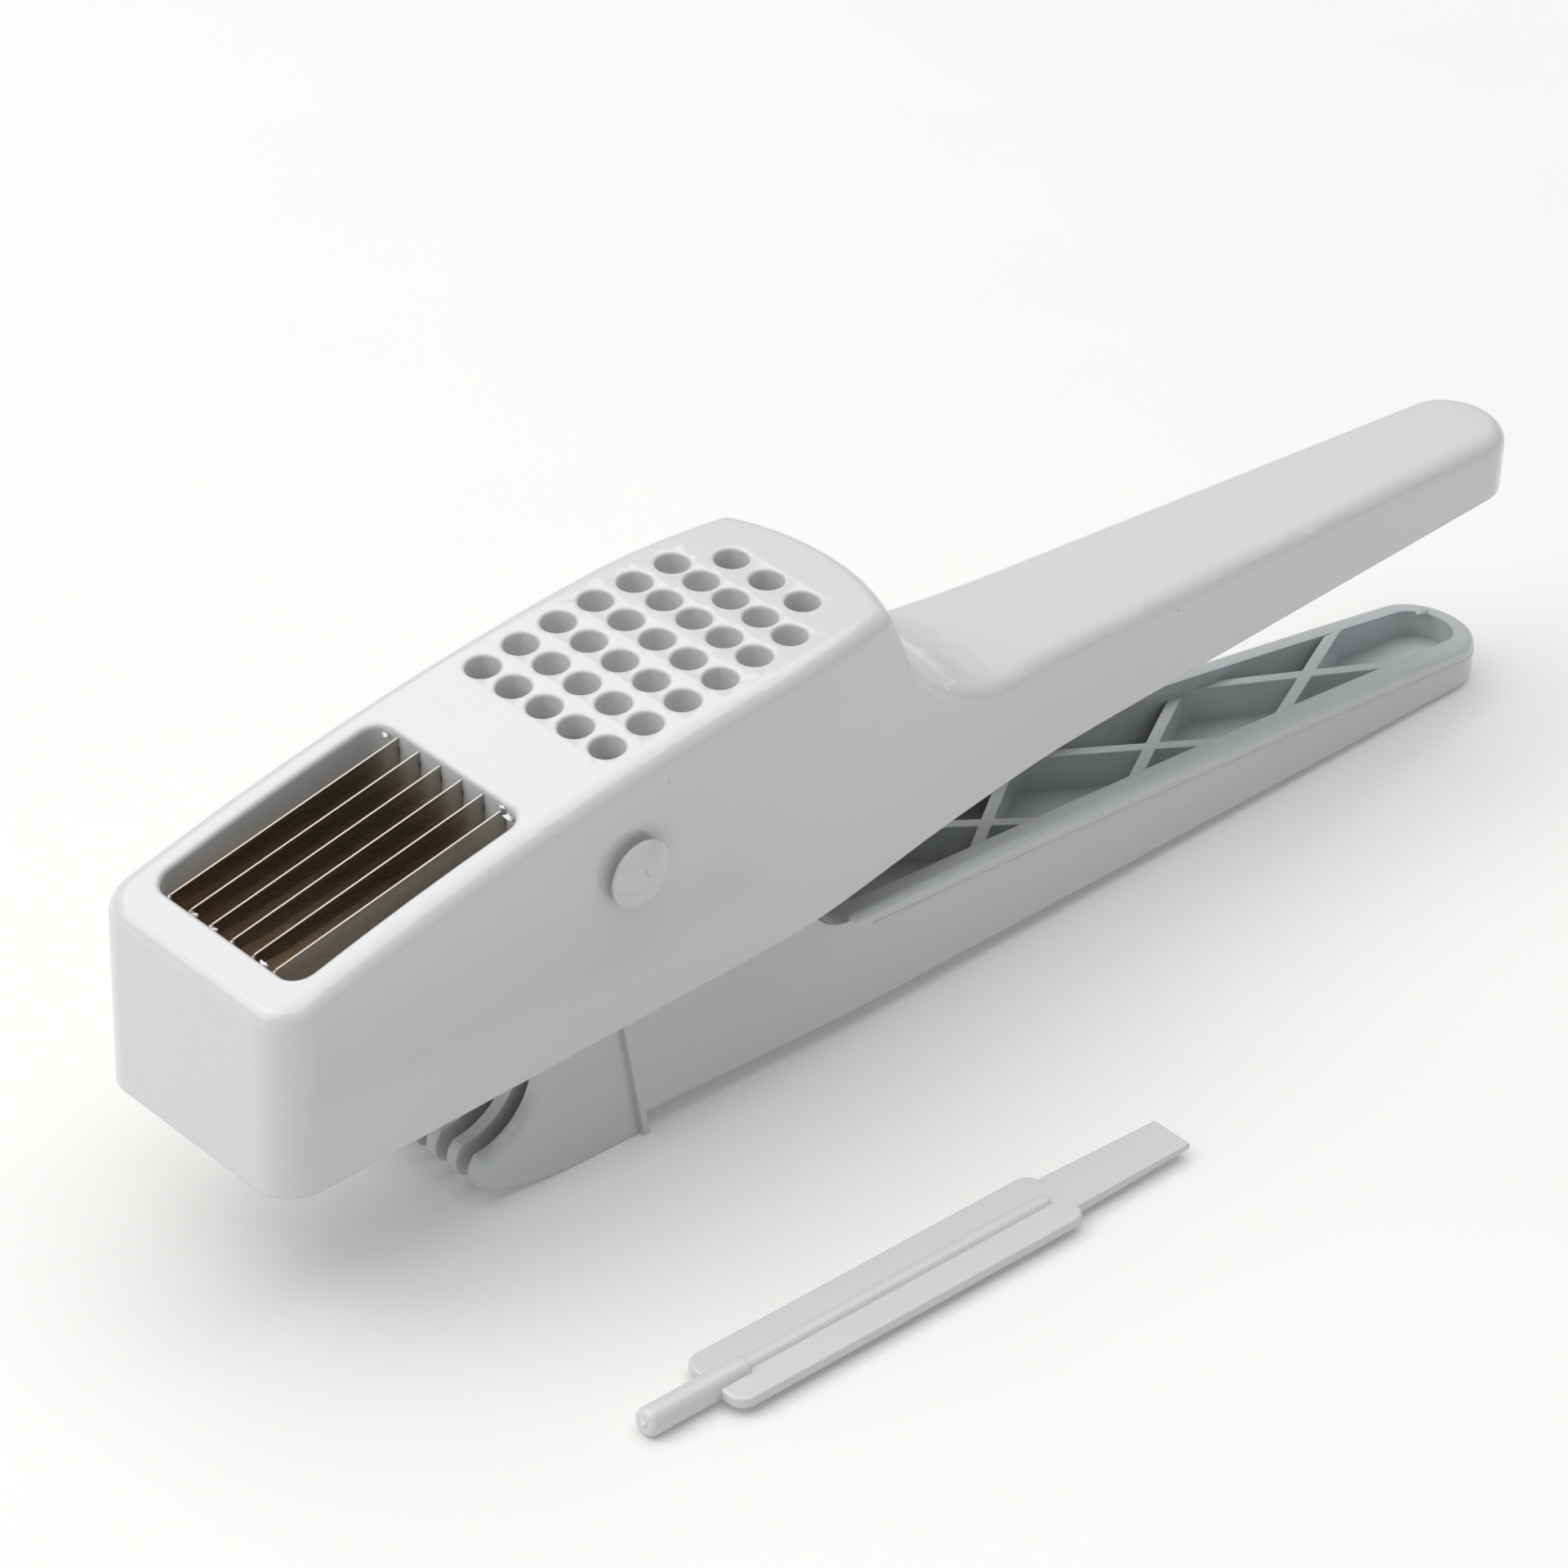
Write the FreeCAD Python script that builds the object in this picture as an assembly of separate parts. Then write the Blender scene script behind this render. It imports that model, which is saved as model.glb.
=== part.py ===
"""Two-way garlic press: a press grid and a slicer on one head, worked by one hinged lever.

Everything is drawn in the body's own frame, in millimetres: x runs from the head's front face
to the handle's end, y is across, and z is up from the head's flat bottom edge.  The frame of the
finished part is the table that the closed tool lies on: every shape is leaned by REST_LEAN and
moved so that the middle of the flat foot under the comb is the origin.
"""
import FreeCAD
import Part
import math
import os

V = FreeCAD.Vector

# Upper body: outside
BODY_LENGTH = 185.6
HEAD_HALF_WIDTH = 14.1
HEAD_CORNER_R = 4.4
HEAD_FLAT_END_X = 62.0
CROWN_X = 78.6
CROWN_Z = 31.7
CROWN_R = 289.0
REAR_EDGE_X = 81.6
REAR_EDGE_R = 24.8
REAR_SLOPE_DEG = 67.0
REAR_BLEND_R = 20.0
HANDLE_TOP_X = 106.7
HANDLE_TOP_Z = 12.4
HANDLE_TOP_SLOPE = -0.0645
HANDLE_END_R = 6.2
NECK = [(74.0, 13.1), (87.0, 11.1), (100.0, 9.45)]
HANDLE_START = (114.0, 8.35)
TOP_EDGE_ROUND = 2.2
HOLE_EDGE_ROUND = 0.35
WINDOW_EDGE_ROUND = 0.6

# Upper body: inside
CHAMBER_FRONT_X = 4.7
CHAMBER_REAR_X = 75.9
CHAMBER_HALF_WIDTH = 11.1
CHAMBER_CORNER_R = 3.0
HUB_ROOM = 0.5
SLICER_REAR_X = 32.5
SLICER_HALF_WIDTH = 10.6
SLICER_CORNER_R = 2.2
SLICER_LIP_Z = 16.5
PARTITION_REAR_X = 36.0
PARTITION_BOTTOM_Z = 19.5
GRID_THICKNESS = 2.9
HANDLE_WALL = 2.4
HANDLE_HOLLOW_X = 79.5

# Press grid: x of each column, spacing across and holes either side of the middle
HOLE_R = 1.75
FIRST_COLUMN_X = 44.3
COLUMN_PITCH = 4.86
GRID_ROWS = [(4.48, 2), (4.48, 2), (4.48, 2), (4.48, 2), (4.3, 2), (4.22, 2), (5.07, 1)]

# Slicer blades
BLADE_COUNT = 6
BLADE_PITCH = 3.08
BLADE_THICKNESS = 0.4
BLADE_DEPTH = 8.0
BLADE_TOP_REAR_Z = 27.3
BLADE_SLOPE = 0.187
BLADE_TAB_FRONT = 1.3
BLADE_TAB_REAR = 1.8
BLADE_TAB_DROP = 1.2
BLADE_TAB_HEIGHT = 5.6

# Pivot and its snap pin
PIVOT = V(43.2, 0, 18.6)
PIN_R = 2.5
PIN_RUNNING_GAP = 0.06
PIN_HEAD_R = 3.65
PIN_HEAD_STANDOFF = 0.9
PIN_HEAD_RIM = 0.35
PIN_HEAD_HEIGHT = 1.75
PIN_SHOULDER_SHARE = 0.72
PIN_SHOULDER_RISE = 0.42
PIN_DIMPLE_R = 0.35
PIN_BARB_R = 3.0
PIN_BARB_LENGTH = 2.6
PIN_BARB_TIP_R = 2.1
PIN_SLIT = 0.9
PIN_SLIT_DEPTH = 7.0

# Lower lever
HUB_R = 6.2
HUB_HALF_LENGTH = 10.8
COMB_R = 37.0
COMB_HALF_WIDTH = 10.12
COMB_SLOT_WIDTH = 1.7
COMB_SLOT_INNER_R = 11.3
COMB_SLOT_END_DEG = 268.0
COMB_HOLLOW_CENTRE = (28.0, -4.2)
COMB_HOLLOW_R = 7.2
COMB_TIP_DEG = 246.0
COMB_EDGE_ROUND = 1.25
FOOT_LENGTH = 8.0
RIDGE_TOP = (45.65, -0.6)
RIDGE_SLOPE = 0.17
COMB_RIB_THICKNESS = 0.8
COMB_RIB_FOOT_GAP = 0.3
PLUNGER_HALF_WIDTH = 10.4
PLUNGER_FRONT_X = 46.5
PLUNGER_R = 31.9
PLUNGER_CORNER_R = 3.2
GRID_GAP = 0.35
LEVER_TOP_Z = -0.6
LEVER_HALF_WIDTH = 10.8
LEVER_WIDE_END_X = 77.0
LEVER_END_X = 184.4
LEVER_END_R = 6.3
LEVER_BOTTOM_START = (50.0, -16.3)
LEVER_WALL = 2.5
RIM_EDGE_ROUND = 1.1
LEVER_BOTTOM_ROUND = 1.2
LEVER_FLOOR = 2.2
RIM_START = (77.0, -5.5)
RIM_MIDDLE = (118.0, -10.7)
RIM_END = (190.4, -21.4)
RIM_RISE_X = 71.0
CAVITY_FRONT_X = 77.6
CAVITY_CORNER_R = 4.0
TUNNEL_FRONT_X = 56.0
TUNNEL_HALF_WIDTH = 8.2
TUNNEL_TOP_Z = -4.5
RIB_THICKNESS = 1.3
RIB_HEIGHT = 6.6
RIB_PITCH = 25.6
RIB_FIRST_X = 81.8
RIB_COUNT = 4

# Cleaning pick, in the frame of the finished part
PICK_Y = -45.0
PICK_ROD_X = -28.4
PICK_ROD_R = 1.5
PICK_WING_X = -19.8
PICK_WING_END_X = 27.2
PICK_WING_HALF_WIDTH = 4.2
PICK_WING_THICKNESS = 1.2
PICK_WING_CORNER_R = 1.8
PICK_RIB_R = 1.1
PICK_BLADE_END_X = 43.6
PICK_BLADE_ROOT_HALF = 2.8
PICK_BLADE_TIP_HALF = 2.45
PICK_BLADE_TIP_THICKNESS = 0.6
PICK_EDGE_ROUND = 0.3

# Rest pose on the table
REST_LEAN = 2.9

BIG = 60.0


def crown_z(x):
    """Height of the head's arched top above the flat bottom edge."""
    return CROWN_Z - CROWN_R + math.sqrt(CROWN_R ** 2 - (x - CROWN_X) ** 2)


def handle_top_z(x):
    return HANDLE_TOP_Z + HANDLE_TOP_SLOPE * (x - HANDLE_TOP_X)


def about_pivot(radius, degrees):
    """Point in the side view at this radius and angle about the pivot."""
    turn = math.radians(degrees)
    return (PIVOT.x + radius * math.cos(turn), PIVOT.z + radius * math.sin(turn))


def line(a, b):
    return Part.makeLine(a, b)


def arc(a, through, b):
    return Part.Arc(a, through, b).toShape()


def side(point, y=0.0):
    """Side-view point (x, z) as a vector."""
    return V(point[0], y, point[1])


def side_prism(edges, half_width):
    """Closed side-view outline, drawn at y = -half_width, pulled to y = +half_width."""
    return Part.Face(Part.Wire(edges)).extrude(V(0, 2 * half_width, 0))


def side_polygon(points, half_width):
    ring = [side(p, -half_width) for p in points]
    return Part.Face(Part.makePolygon(ring + ring[:1])).extrude(V(0, 2 * half_width, 0))


def block(x0, x1, half_width, z0, z1):
    return Part.makeBox(x1 - x0, 2 * half_width, z1 - z0, V(x0, -half_width, z0))


def rounded_block(x0, x1, half_width, z0, z1, radius):
    """Block whose four upright edges are round."""
    solid = block(x0, x1, half_width, z0, z1)
    upright = [e for e in solid.Edges if abs(e.tangentAt(e.FirstParameter).z) > 0.9]
    return solid.makeFillet(radius, upright)


def mirrored_outline(half_edges):
    """Closed plan outline from the edges of its +y half."""
    flip = FreeCAD.Matrix()
    flip.A22 = -1.0
    other = [e.transformGeometry(flip) for e in half_edges]
    return Part.Face(Part.Wire(Part.__sortEdges__(half_edges + other)))


def body_plan(inset=0.0):
    """Plan of the upper body: square head, waisted neck, tapered handle, round end."""
    end_x = BODY_LENGTH - HANDLE_END_R
    end_r = HANDLE_END_R - inset
    w = HEAD_HALF_WIDTH - inset
    r = HEAD_CORNER_R - inset
    k = r * (1 - math.sqrt(0.5))
    taper = (HANDLE_END_R - HANDLE_START[1]) / (end_x - HANDLE_START[0])
    start = V(HANDLE_START[0], HANDLE_START[1] - inset, 0)
    neck = Part.BSplineCurve()
    stations = [V(HEAD_FLAT_END_X, w, 0)] + [V(x, y - inset, 0) for x, y in NECK] + [start]
    neck.interpolate(Points=stations, InitialTangent=V(1, 0, 0), FinalTangent=V(1, taper, 0))
    half = [
        line(V(inset, 0, 0), V(inset, w - r, 0)),
        arc(V(inset, w - r, 0), V(inset + k, w - k, 0), V(inset + r, w, 0)),
        line(V(inset + r, w, 0), V(HEAD_FLAT_END_X, w, 0)),
        neck.toShape(),
        line(start, V(end_x, end_r, 0)),
        round_end(end_x, end_r),
    ]
    return mirrored_outline(half)


def round_end(centre_x, radius):
    """Quarter circle that closes the +y half of a handle."""
    d = radius * math.sqrt(0.5)
    return arc(V(centre_x, radius, 0), V(centre_x + d, d, 0), V(centre_x + radius, 0, 0))


def lever_plan(inset=0.0):
    """Plan of the lever: straight under the head, then an even taper to a round end."""
    start_x = RIDGE_TOP[0] - 10
    end_x = LEVER_END_X - LEVER_END_R
    end_r = LEVER_END_R - inset
    w = LEVER_HALF_WIDTH - inset
    half = [
        line(V(start_x, 0, 0), V(start_x, w, 0)),
        line(V(start_x, w, 0), V(LEVER_WIDE_END_X, w, 0)),
        line(V(LEVER_WIDE_END_X, w, 0), V(end_x, end_r, 0)),
        round_end(end_x, end_r),
    ]
    return mirrored_outline(half)


def head_envelope():
    """Space under the arched top, ended at the back by the curved slope down to the handle."""
    low = side((-5, -1), -BIG)
    arch = arc(side((-5, crown_z(-5)), -BIG), side((50, crown_z(50)), -BIG), side((120, crown_z(120)), -BIG))
    outline = [
        line(low, side((-5, crown_z(-5)), -BIG)),
        arch,
        line(side((120, crown_z(120)), -BIG), side((120, -1), -BIG)),
        line(side((120, -1), -BIG), low),
    ]
    under_arch = side_prism(outline, BIG)
    axis_x = REAR_EDGE_X - REAR_EDGE_R
    steep = math.radians(REAR_SLOPE_DEG)
    shallow = math.atan(-HANDLE_TOP_SLOPE)
    corner_z = handle_top_z(REAR_EDGE_X + 8)
    corner_x = REAR_EDGE_X + (CROWN_Z - corner_z) / math.tan(steep)
    reach = REAR_BLEND_R * math.tan((steep - shallow) / 2)
    blend_in = (corner_x - reach * math.cos(steep), corner_z + reach * math.sin(steep))
    blend_out = (corner_x + reach * math.cos(shallow), corner_z - reach * math.sin(shallow))
    centre = (blend_in[0] + REAR_BLEND_R * math.sin(steep), blend_in[1] + REAR_BLEND_R * math.cos(steep))
    half_way = (steep + shallow) / 2
    blend_mid = (centre[0] - REAR_BLEND_R * math.sin(half_way), centre[1] - REAR_BLEND_R * math.cos(half_way))
    top = (REAR_EDGE_X - 4 / math.tan(steep), CROWN_Z + 4)
    slope = [
        line(V(axis_x, 0, -1), V(axis_x, 0, top[1])),
        line(V(axis_x, 0, top[1]), side(top)),
        line(side(top), side(blend_in)),
        arc(side(blend_in), side(blend_mid), side(blend_out)),
        line(side(blend_out), V(blend_out[0], 0, -1)),
        line(V(blend_out[0], 0, -1), V(axis_x, 0, -1)),
    ]
    turned = Part.Face(Part.Wire(slope)).revolve(V(axis_x, 0, 0), V(0, 0, 1), 360)
    front = block(-5, axis_x, BIG, -1, CROWN_Z + 4)
    return under_arch.common(front.fuse(turned).removeSplitter())


def handle_envelope():
    x0 = HEAD_FLAT_END_X
    x1 = BODY_LENGTH + 5
    return side_polygon([(x0, -1), (x0, handle_top_z(x0)), (x1, handle_top_z(x1)), (x1, -1)], BIG)


def body_shell():
    """Outside of the upper body, before it is hollowed."""
    prism = body_plan().extrude(V(0, 0, BIG))
    shell = prism.common(head_envelope().fuse(handle_envelope())).removeSplitter()
    return shell.makeFillet(TOP_EDGE_ROUND, [e for e in shell.Edges if on_top_rim(e)])


def middle(edge):
    return edge.valueAt(0.5 * (edge.FirstParameter + edge.LastParameter))


def on_top_rim(edge):
    """True for the edges round the top of the head and handle, with the head's rear edge."""
    steep = abs(edge.tangentAt(0.5 * (edge.FirstParameter + edge.LastParameter)).z) > 0.98
    centre = edge.CenterOfMass
    on_rear_slope = CROWN_X + 3.5 < centre.x < HANDLE_TOP_X and abs(centre.y) < HANDLE_END_R
    return edge.BoundBox.ZMin > 1 and not steep and not on_rear_slope


def on_hole_mouth(edge):
    """True for the top edges of the press holes."""
    centre = edge.CenterOfMass
    inside = FIRST_COLUMN_X - 1 < centre.x < CHAMBER_REAR_X and abs(centre.y) < CHAMBER_HALF_WIDTH
    small = edge.BoundBox.XLength < 2.1 * HOLE_R and edge.BoundBox.YLength > HOLE_R
    return inside and small and centre.z > crown_z(centre.x) - 0.4


def on_window_mouth(edge):
    """True for the top edges of the slicer window."""
    box = edge.BoundBox
    inside = box.XMin > CHAMBER_FRONT_X - 0.1 and box.XMax < SLICER_REAR_X + 0.1
    on_top = box.ZMin > crown_z(box.XMin) - 0.2
    return inside and on_top and abs(edge.CenterOfMass.y) < SLICER_HALF_WIDTH + 0.1


def grid_underside_prism(x0, x1, z0, drop, half_width):
    """Space from z0 up to the arch, lowered by drop."""
    top0 = side((x0, crown_z(x0) - drop), -half_width)
    half_way = 0.5 * (x0 + x1)
    through = side((half_way, crown_z(half_way) - drop), -half_width)
    top1 = side((x1, crown_z(x1) - drop), -half_width)
    edges = [
        line(side((x0, z0), -half_width), top0),
        arc(top0, through, top1),
        line(top1, side((x1, z0), -half_width)),
        line(side((x1, z0), -half_width), side((x0, z0), -half_width)),
    ]
    return side_prism(edges, half_width)


def head_hollows():
    """Window, slicing chamber and press chamber."""
    window = rounded_block(CHAMBER_FRONT_X, SLICER_REAR_X, SLICER_HALF_WIDTH, -1, BIG, SLICER_CORNER_R)
    half = CHAMBER_HALF_WIDTH
    lower = rounded_block(CHAMBER_FRONT_X, CHAMBER_REAR_X, half, -1, SLICER_LIP_Z, SLICER_CORNER_R)
    passage = block(SLICER_REAR_X - 6, PARTITION_REAR_X + 6, SLICER_HALF_WIDTH, -1, PARTITION_BOTTOM_Z)
    plan = rounded_block(PARTITION_REAR_X, CHAMBER_REAR_X, CHAMBER_HALF_WIDTH, -1, BIG, CHAMBER_CORNER_R)
    under_grid = grid_underside_prism(PARTITION_REAR_X - 1, CHAMBER_REAR_X + 1, -1, GRID_THICKNESS, BIG)
    press = plan.common(under_grid)
    reach = CHAMBER_HALF_WIDTH
    hub_room = Part.makeCylinder(HUB_R + HUB_ROOM, 2 * reach, V(PIVOT.x, -reach, PIVOT.z), V(0, 1, 0))
    return [window, lower, passage, press, hub_room]


def grid_holes():
    holes = []
    for column, (pitch, each_side) in enumerate(GRID_ROWS):
        x = FIRST_COLUMN_X + column * COLUMN_PITCH
        for row in range(-each_side, each_side + 1):
            holes.append(Part.makeCylinder(HOLE_R, BIG, V(x, row * pitch, PARTITION_BOTTOM_Z)))
    return holes


def crossed_ribs(first_x, count, half_width_at, z0, z1):
    """Row of upright X ribs; each arm runs from one wall to the other over one pitch."""
    ribs = []
    for index in range(count):
        x = first_x + index * RIB_PITCH
        reach = half_width_at(x)
        length = 2 * math.hypot(RIB_PITCH / 2, reach)
        angle = math.degrees(math.atan2(reach, RIB_PITCH / 2))
        for turn in (angle, -angle):
            rib = Part.makeBox(length, RIB_THICKNESS, z1 - z0, V(-length / 2, -RIB_THICKNESS / 2, z0))
            rib.rotate(V(0, 0, 0), V(0, 0, 1), turn)
            rib.translate(V(x, 0, 0))
            ribs.append(rib)
    return ribs


def fuse_all(shapes):
    return shapes[0].multiFuse(shapes[1:]).removeSplitter()


def handle_hollow():
    """Channel under the handle, with its crossed ribs left standing."""
    inner = body_plan(HANDLE_WALL).extrude(V(0, 0, BIG))
    x0 = HANDLE_HOLLOW_X
    x1 = BODY_LENGTH
    roof = [(x0, -1), (x0, handle_top_z(x0) - HANDLE_WALL), (x1, handle_top_z(x1) - HANDLE_WALL), (x1, -1)]
    inner = inner.translated(V(0, 0, -1))
    channel = inner.common(side_polygon(roof, BIG))

    def reach(x):
        return HANDLE_START[1] - 0.03 * (x - HANDLE_START[0]) - HANDLE_WALL / 2

    ribs = fuse_all(crossed_ribs(RIB_FIRST_X + RIB_PITCH / 2, RIB_COUNT - 1, reach, 1.5, BIG))
    return channel.cut(ribs)


def blade_y(index):
    return (index - (BLADE_COUNT - 1) / 2) * BLADE_PITCH


def blade_top_z(x):
    return BLADE_TOP_REAR_Z + BLADE_SLOPE * (x - SLICER_REAR_X)


def blade(index):
    """Flat steel blade with a tab at each end moulded into the body."""
    x0 = CHAMBER_FRONT_X
    x1 = SLICER_REAR_X
    outline = [
        (x0, blade_top_z(x0)),
        (x1, blade_top_z(x1)),
        (x1, blade_top_z(x1) - BLADE_TAB_DROP),
        (x1 + BLADE_TAB_REAR, blade_top_z(x1) - BLADE_TAB_DROP),
        (x1 + BLADE_TAB_REAR, blade_top_z(x1) - BLADE_TAB_DROP - BLADE_TAB_HEIGHT),
        (x1, blade_top_z(x1) - BLADE_TAB_DROP - BLADE_TAB_HEIGHT),
        (x1, blade_top_z(x1) - BLADE_DEPTH),
        (x0, blade_top_z(x0) - BLADE_DEPTH),
        (x0, blade_top_z(x0) - BLADE_TAB_DROP - BLADE_TAB_HEIGHT),
        (x0 - BLADE_TAB_FRONT, blade_top_z(x0) - BLADE_TAB_DROP - BLADE_TAB_HEIGHT),
        (x0 - BLADE_TAB_FRONT, blade_top_z(x0) - BLADE_TAB_DROP),
        (x0, blade_top_z(x0) - BLADE_TAB_DROP),
    ]
    plate = side_polygon(outline, BLADE_THICKNESS / 2)
    plate.translate(V(0, blade_y(index), 0))
    return plate


def upper_body(blades):
    shell = body_shell()
    pin_hole = Part.makeCylinder(PIN_R, 2 * BIG, V(PIVOT.x, -BIG, PIVOT.z), V(0, 1, 0))
    body = shell.cut(head_hollows() + [handle_hollow(), pin_hole] + grid_holes())
    body = body.makeFillet(HOLE_EDGE_ROUND, [e for e in body.Edges if on_hole_mouth(e)])
    body = body.makeFillet(WINDOW_EDGE_ROUND, [e for e in body.Edges if on_window_mouth(e)])
    return body.cut(blades)


def pivot_pin():
    """Snap pin: domed head on the near side, split barb outside the far wall."""
    y_head = -HEAD_HALF_WIDTH - PIN_HEAD_STANDOFF
    y_barb = HEAD_HALF_WIDTH + 0.05
    y_tip = y_barb + PIN_BARB_LENGTH
    apex = y_head - PIN_HEAD_HEIGHT
    rim = y_head - PIN_HEAD_RIM
    dome = Part.BSplineCurve()
    shoulder = V(PIN_HEAD_R * PIN_SHOULDER_SHARE, rim - PIN_HEAD_HEIGHT * PIN_SHOULDER_RISE, 0)
    dome.interpolate(Points=[V(PIN_HEAD_R, rim, 0), shoulder, V(PIN_DIMPLE_R, apex, 0)])
    outline = [
        line(V(0, apex, 0), V(0, y_tip, 0)),
        line(V(0, y_tip, 0), V(PIN_BARB_TIP_R, y_tip, 0)),
        line(V(PIN_BARB_TIP_R, y_tip, 0), V(PIN_BARB_R, y_barb + 0.4, 0)),
        line(V(PIN_BARB_R, y_barb + 0.4, 0), V(PIN_BARB_R, y_barb, 0)),
        line(V(PIN_BARB_R, y_barb, 0), V(PIN_R, y_barb, 0)),
        line(V(PIN_R, y_barb, 0), V(PIN_R, y_head, 0)),
        line(V(PIN_R, y_head, 0), V(PIN_HEAD_R, y_head, 0)),
        line(V(PIN_HEAD_R, y_head, 0), V(PIN_HEAD_R, rim, 0)),
        dome.toShape(),
        line(V(PIN_DIMPLE_R, apex, 0), V(0, apex, 0)),
    ]
    pin = Part.Face(Part.Wire(outline)).revolve(V(0, 0, 0), V(0, 1, 0), 360)
    corner = V(-PIN_SLIT / 2, y_tip - PIN_SLIT_DEPTH, -PIN_HEAD_R)
    slit = Part.makeBox(PIN_SLIT, PIN_SLIT_DEPTH, 2 * PIN_HEAD_R, corner)
    pin = pin.cut(slit)
    pin.translate(V(PIVOT.x, 0, PIVOT.z))
    return pin


def foot_ends():
    """Ends of the flat foot: where the comb's round back meets the table, and its rear edge."""
    start = about_pivot(COMB_R, 270 - REST_LEAN)
    lean = math.radians(REST_LEAN)
    return start, (start[0] + FOOT_LENGTH * math.cos(lean), start[1] - FOOT_LENGTH * math.sin(lean))


def ridge_x(z):
    return RIDGE_TOP[0] - RIDGE_SLOPE * (z - RIDGE_TOP[1])


def comb_block():
    """Curved comb that pushes slices up between the blades, with the web that carries it."""
    w = -COMB_HALF_WIDTH
    start, end = foot_ends()
    cx, cz = COMB_HOLLOW_CENTRE
    r = COMB_HOLLOW_R
    d = r * math.sqrt(0.5)
    tip = about_pivot(COMB_R, COMB_TIP_DEG)
    nose = (tip[0] - 1.0, tip[1] + 2.3)
    web = about_pivot(COMB_SLOT_INNER_R, 260)
    shoulder = (cx + r, 0.5)
    edges = [
        line(side(about_pivot(HUB_R - 1, 250), w), side(web, w)),
        line(side(web, w), side(shoulder, w)),
        line(side(shoulder, w), side((cx + r, cz), w)),
        arc(side((cx + r, cz), w), side((cx + d, cz - d), w), side((cx, cz - r), w)),
        arc(side((cx, cz - r), w), side(nose, w), side(tip, w)),
        arc(side(tip, w), side(about_pivot(COMB_R, 257), w), side(start, w)),
        line(side(start, w), side(end, w)),
        line(side(end, w), side(RIDGE_TOP, w)),
        line(side(RIDGE_TOP, w), side(about_pivot(HUB_R - 1, 300), w)),
        line(side(about_pivot(HUB_R - 1, 300), w), side(about_pivot(HUB_R - 1, 250), w)),
    ]
    comb = side_prism(edges, COMB_HALF_WIDTH)
    outer = [e for e in comb.Edges if abs(middle(e).y) > COMB_HALF_WIDTH - 0.1]
    scoop = [e for e in outer if middle(e).x < cx + r + 0.1 and middle(e).z > tip[1]]
    return comb.makeFillet(COMB_EDGE_ROUND, scoop)


def comb_rib():
    """Thin rib down the comb's rear edge, level with the handle's sides."""
    end = foot_ends()[1]
    t = COMB_RIB_THICKNESS
    low = end[1] + COMB_RIB_FOOT_GAP
    rear = end[0] - COMB_RIB_FOOT_GAP * (end[0] - RIDGE_TOP[0]) / (RIDGE_TOP[1] - end[1])
    points = [RIDGE_TOP, (RIDGE_TOP[0] - t, RIDGE_TOP[1]), (rear - t, low), (rear, low)]
    return side_polygon(points, LEVER_HALF_WIDTH)


def comb_slots():
    """Gaps between the fins, one for each blade."""
    slots = []
    span = COMB_SLOT_END_DEG - 180
    for index in range(BLADE_COUNT):
        ring = Part.makeCylinder(COMB_R + 3, COMB_SLOT_WIDTH, V(0, 0, 0), V(0, 1, 0), span)
        core = Part.makeCylinder(COMB_SLOT_INNER_R, COMB_SLOT_WIDTH, V(0, 0, 0), V(0, 1, 0))
        slot = ring.cut(core)
        turn = sector_turn(ring, span)
        slot.rotate(V(0, 0, 0), V(0, 1, 0), turn)
        slot.translate(V(PIVOT.x, blade_y(index) - COMB_SLOT_WIDTH / 2, PIVOT.z))
        slots.append(slot)
    return slots


def sector_turn(ring, span):
    """Turn about +y that brings a fresh sector's middle to the middle of the slots' span."""
    centre = ring.CenterOfMass
    now = math.degrees(math.atan2(centre.z, centre.x))
    wanted = COMB_SLOT_END_DEG - span / 2
    return now - wanted


def plunger():
    """Pusher that fills the press chamber when the handles are closed."""
    w = PLUNGER_HALF_WIDTH
    rear = Part.makeCylinder(PLUNGER_R, 2 * w, V(PIVOT.x, -w, PIVOT.z), V(0, 1, 0))
    space = grid_underside_prism(PIVOT.x, CHAMBER_REAR_X, LEVER_TOP_Z - 1, GRID_THICKNESS + GRID_GAP, w)
    lean_back = [
        (PIVOT.x - 1, BIG),
        (PIVOT.x - 1, PIVOT.z + HUB_R - 2),
        (PLUNGER_FRONT_X, PIVOT.z + HUB_R + 2),
        (PLUNGER_FRONT_X, BIG),
    ]
    pusher = space.common(rear).cut(side_polygon(lean_back, BIG))
    corners_r = [e for e in pusher.Edges if abs(e.CenterOfMass.y) > w - 0.01 and on_plunger_rear(e)]
    return pusher.makeFillet(PLUNGER_CORNER_R, corners_r)


def on_plunger_rear(edge):
    centre = middle(edge)
    return abs(math.hypot(centre.x - PIVOT.x, centre.z - PIVOT.z) - PLUNGER_R) < 0.05


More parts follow.
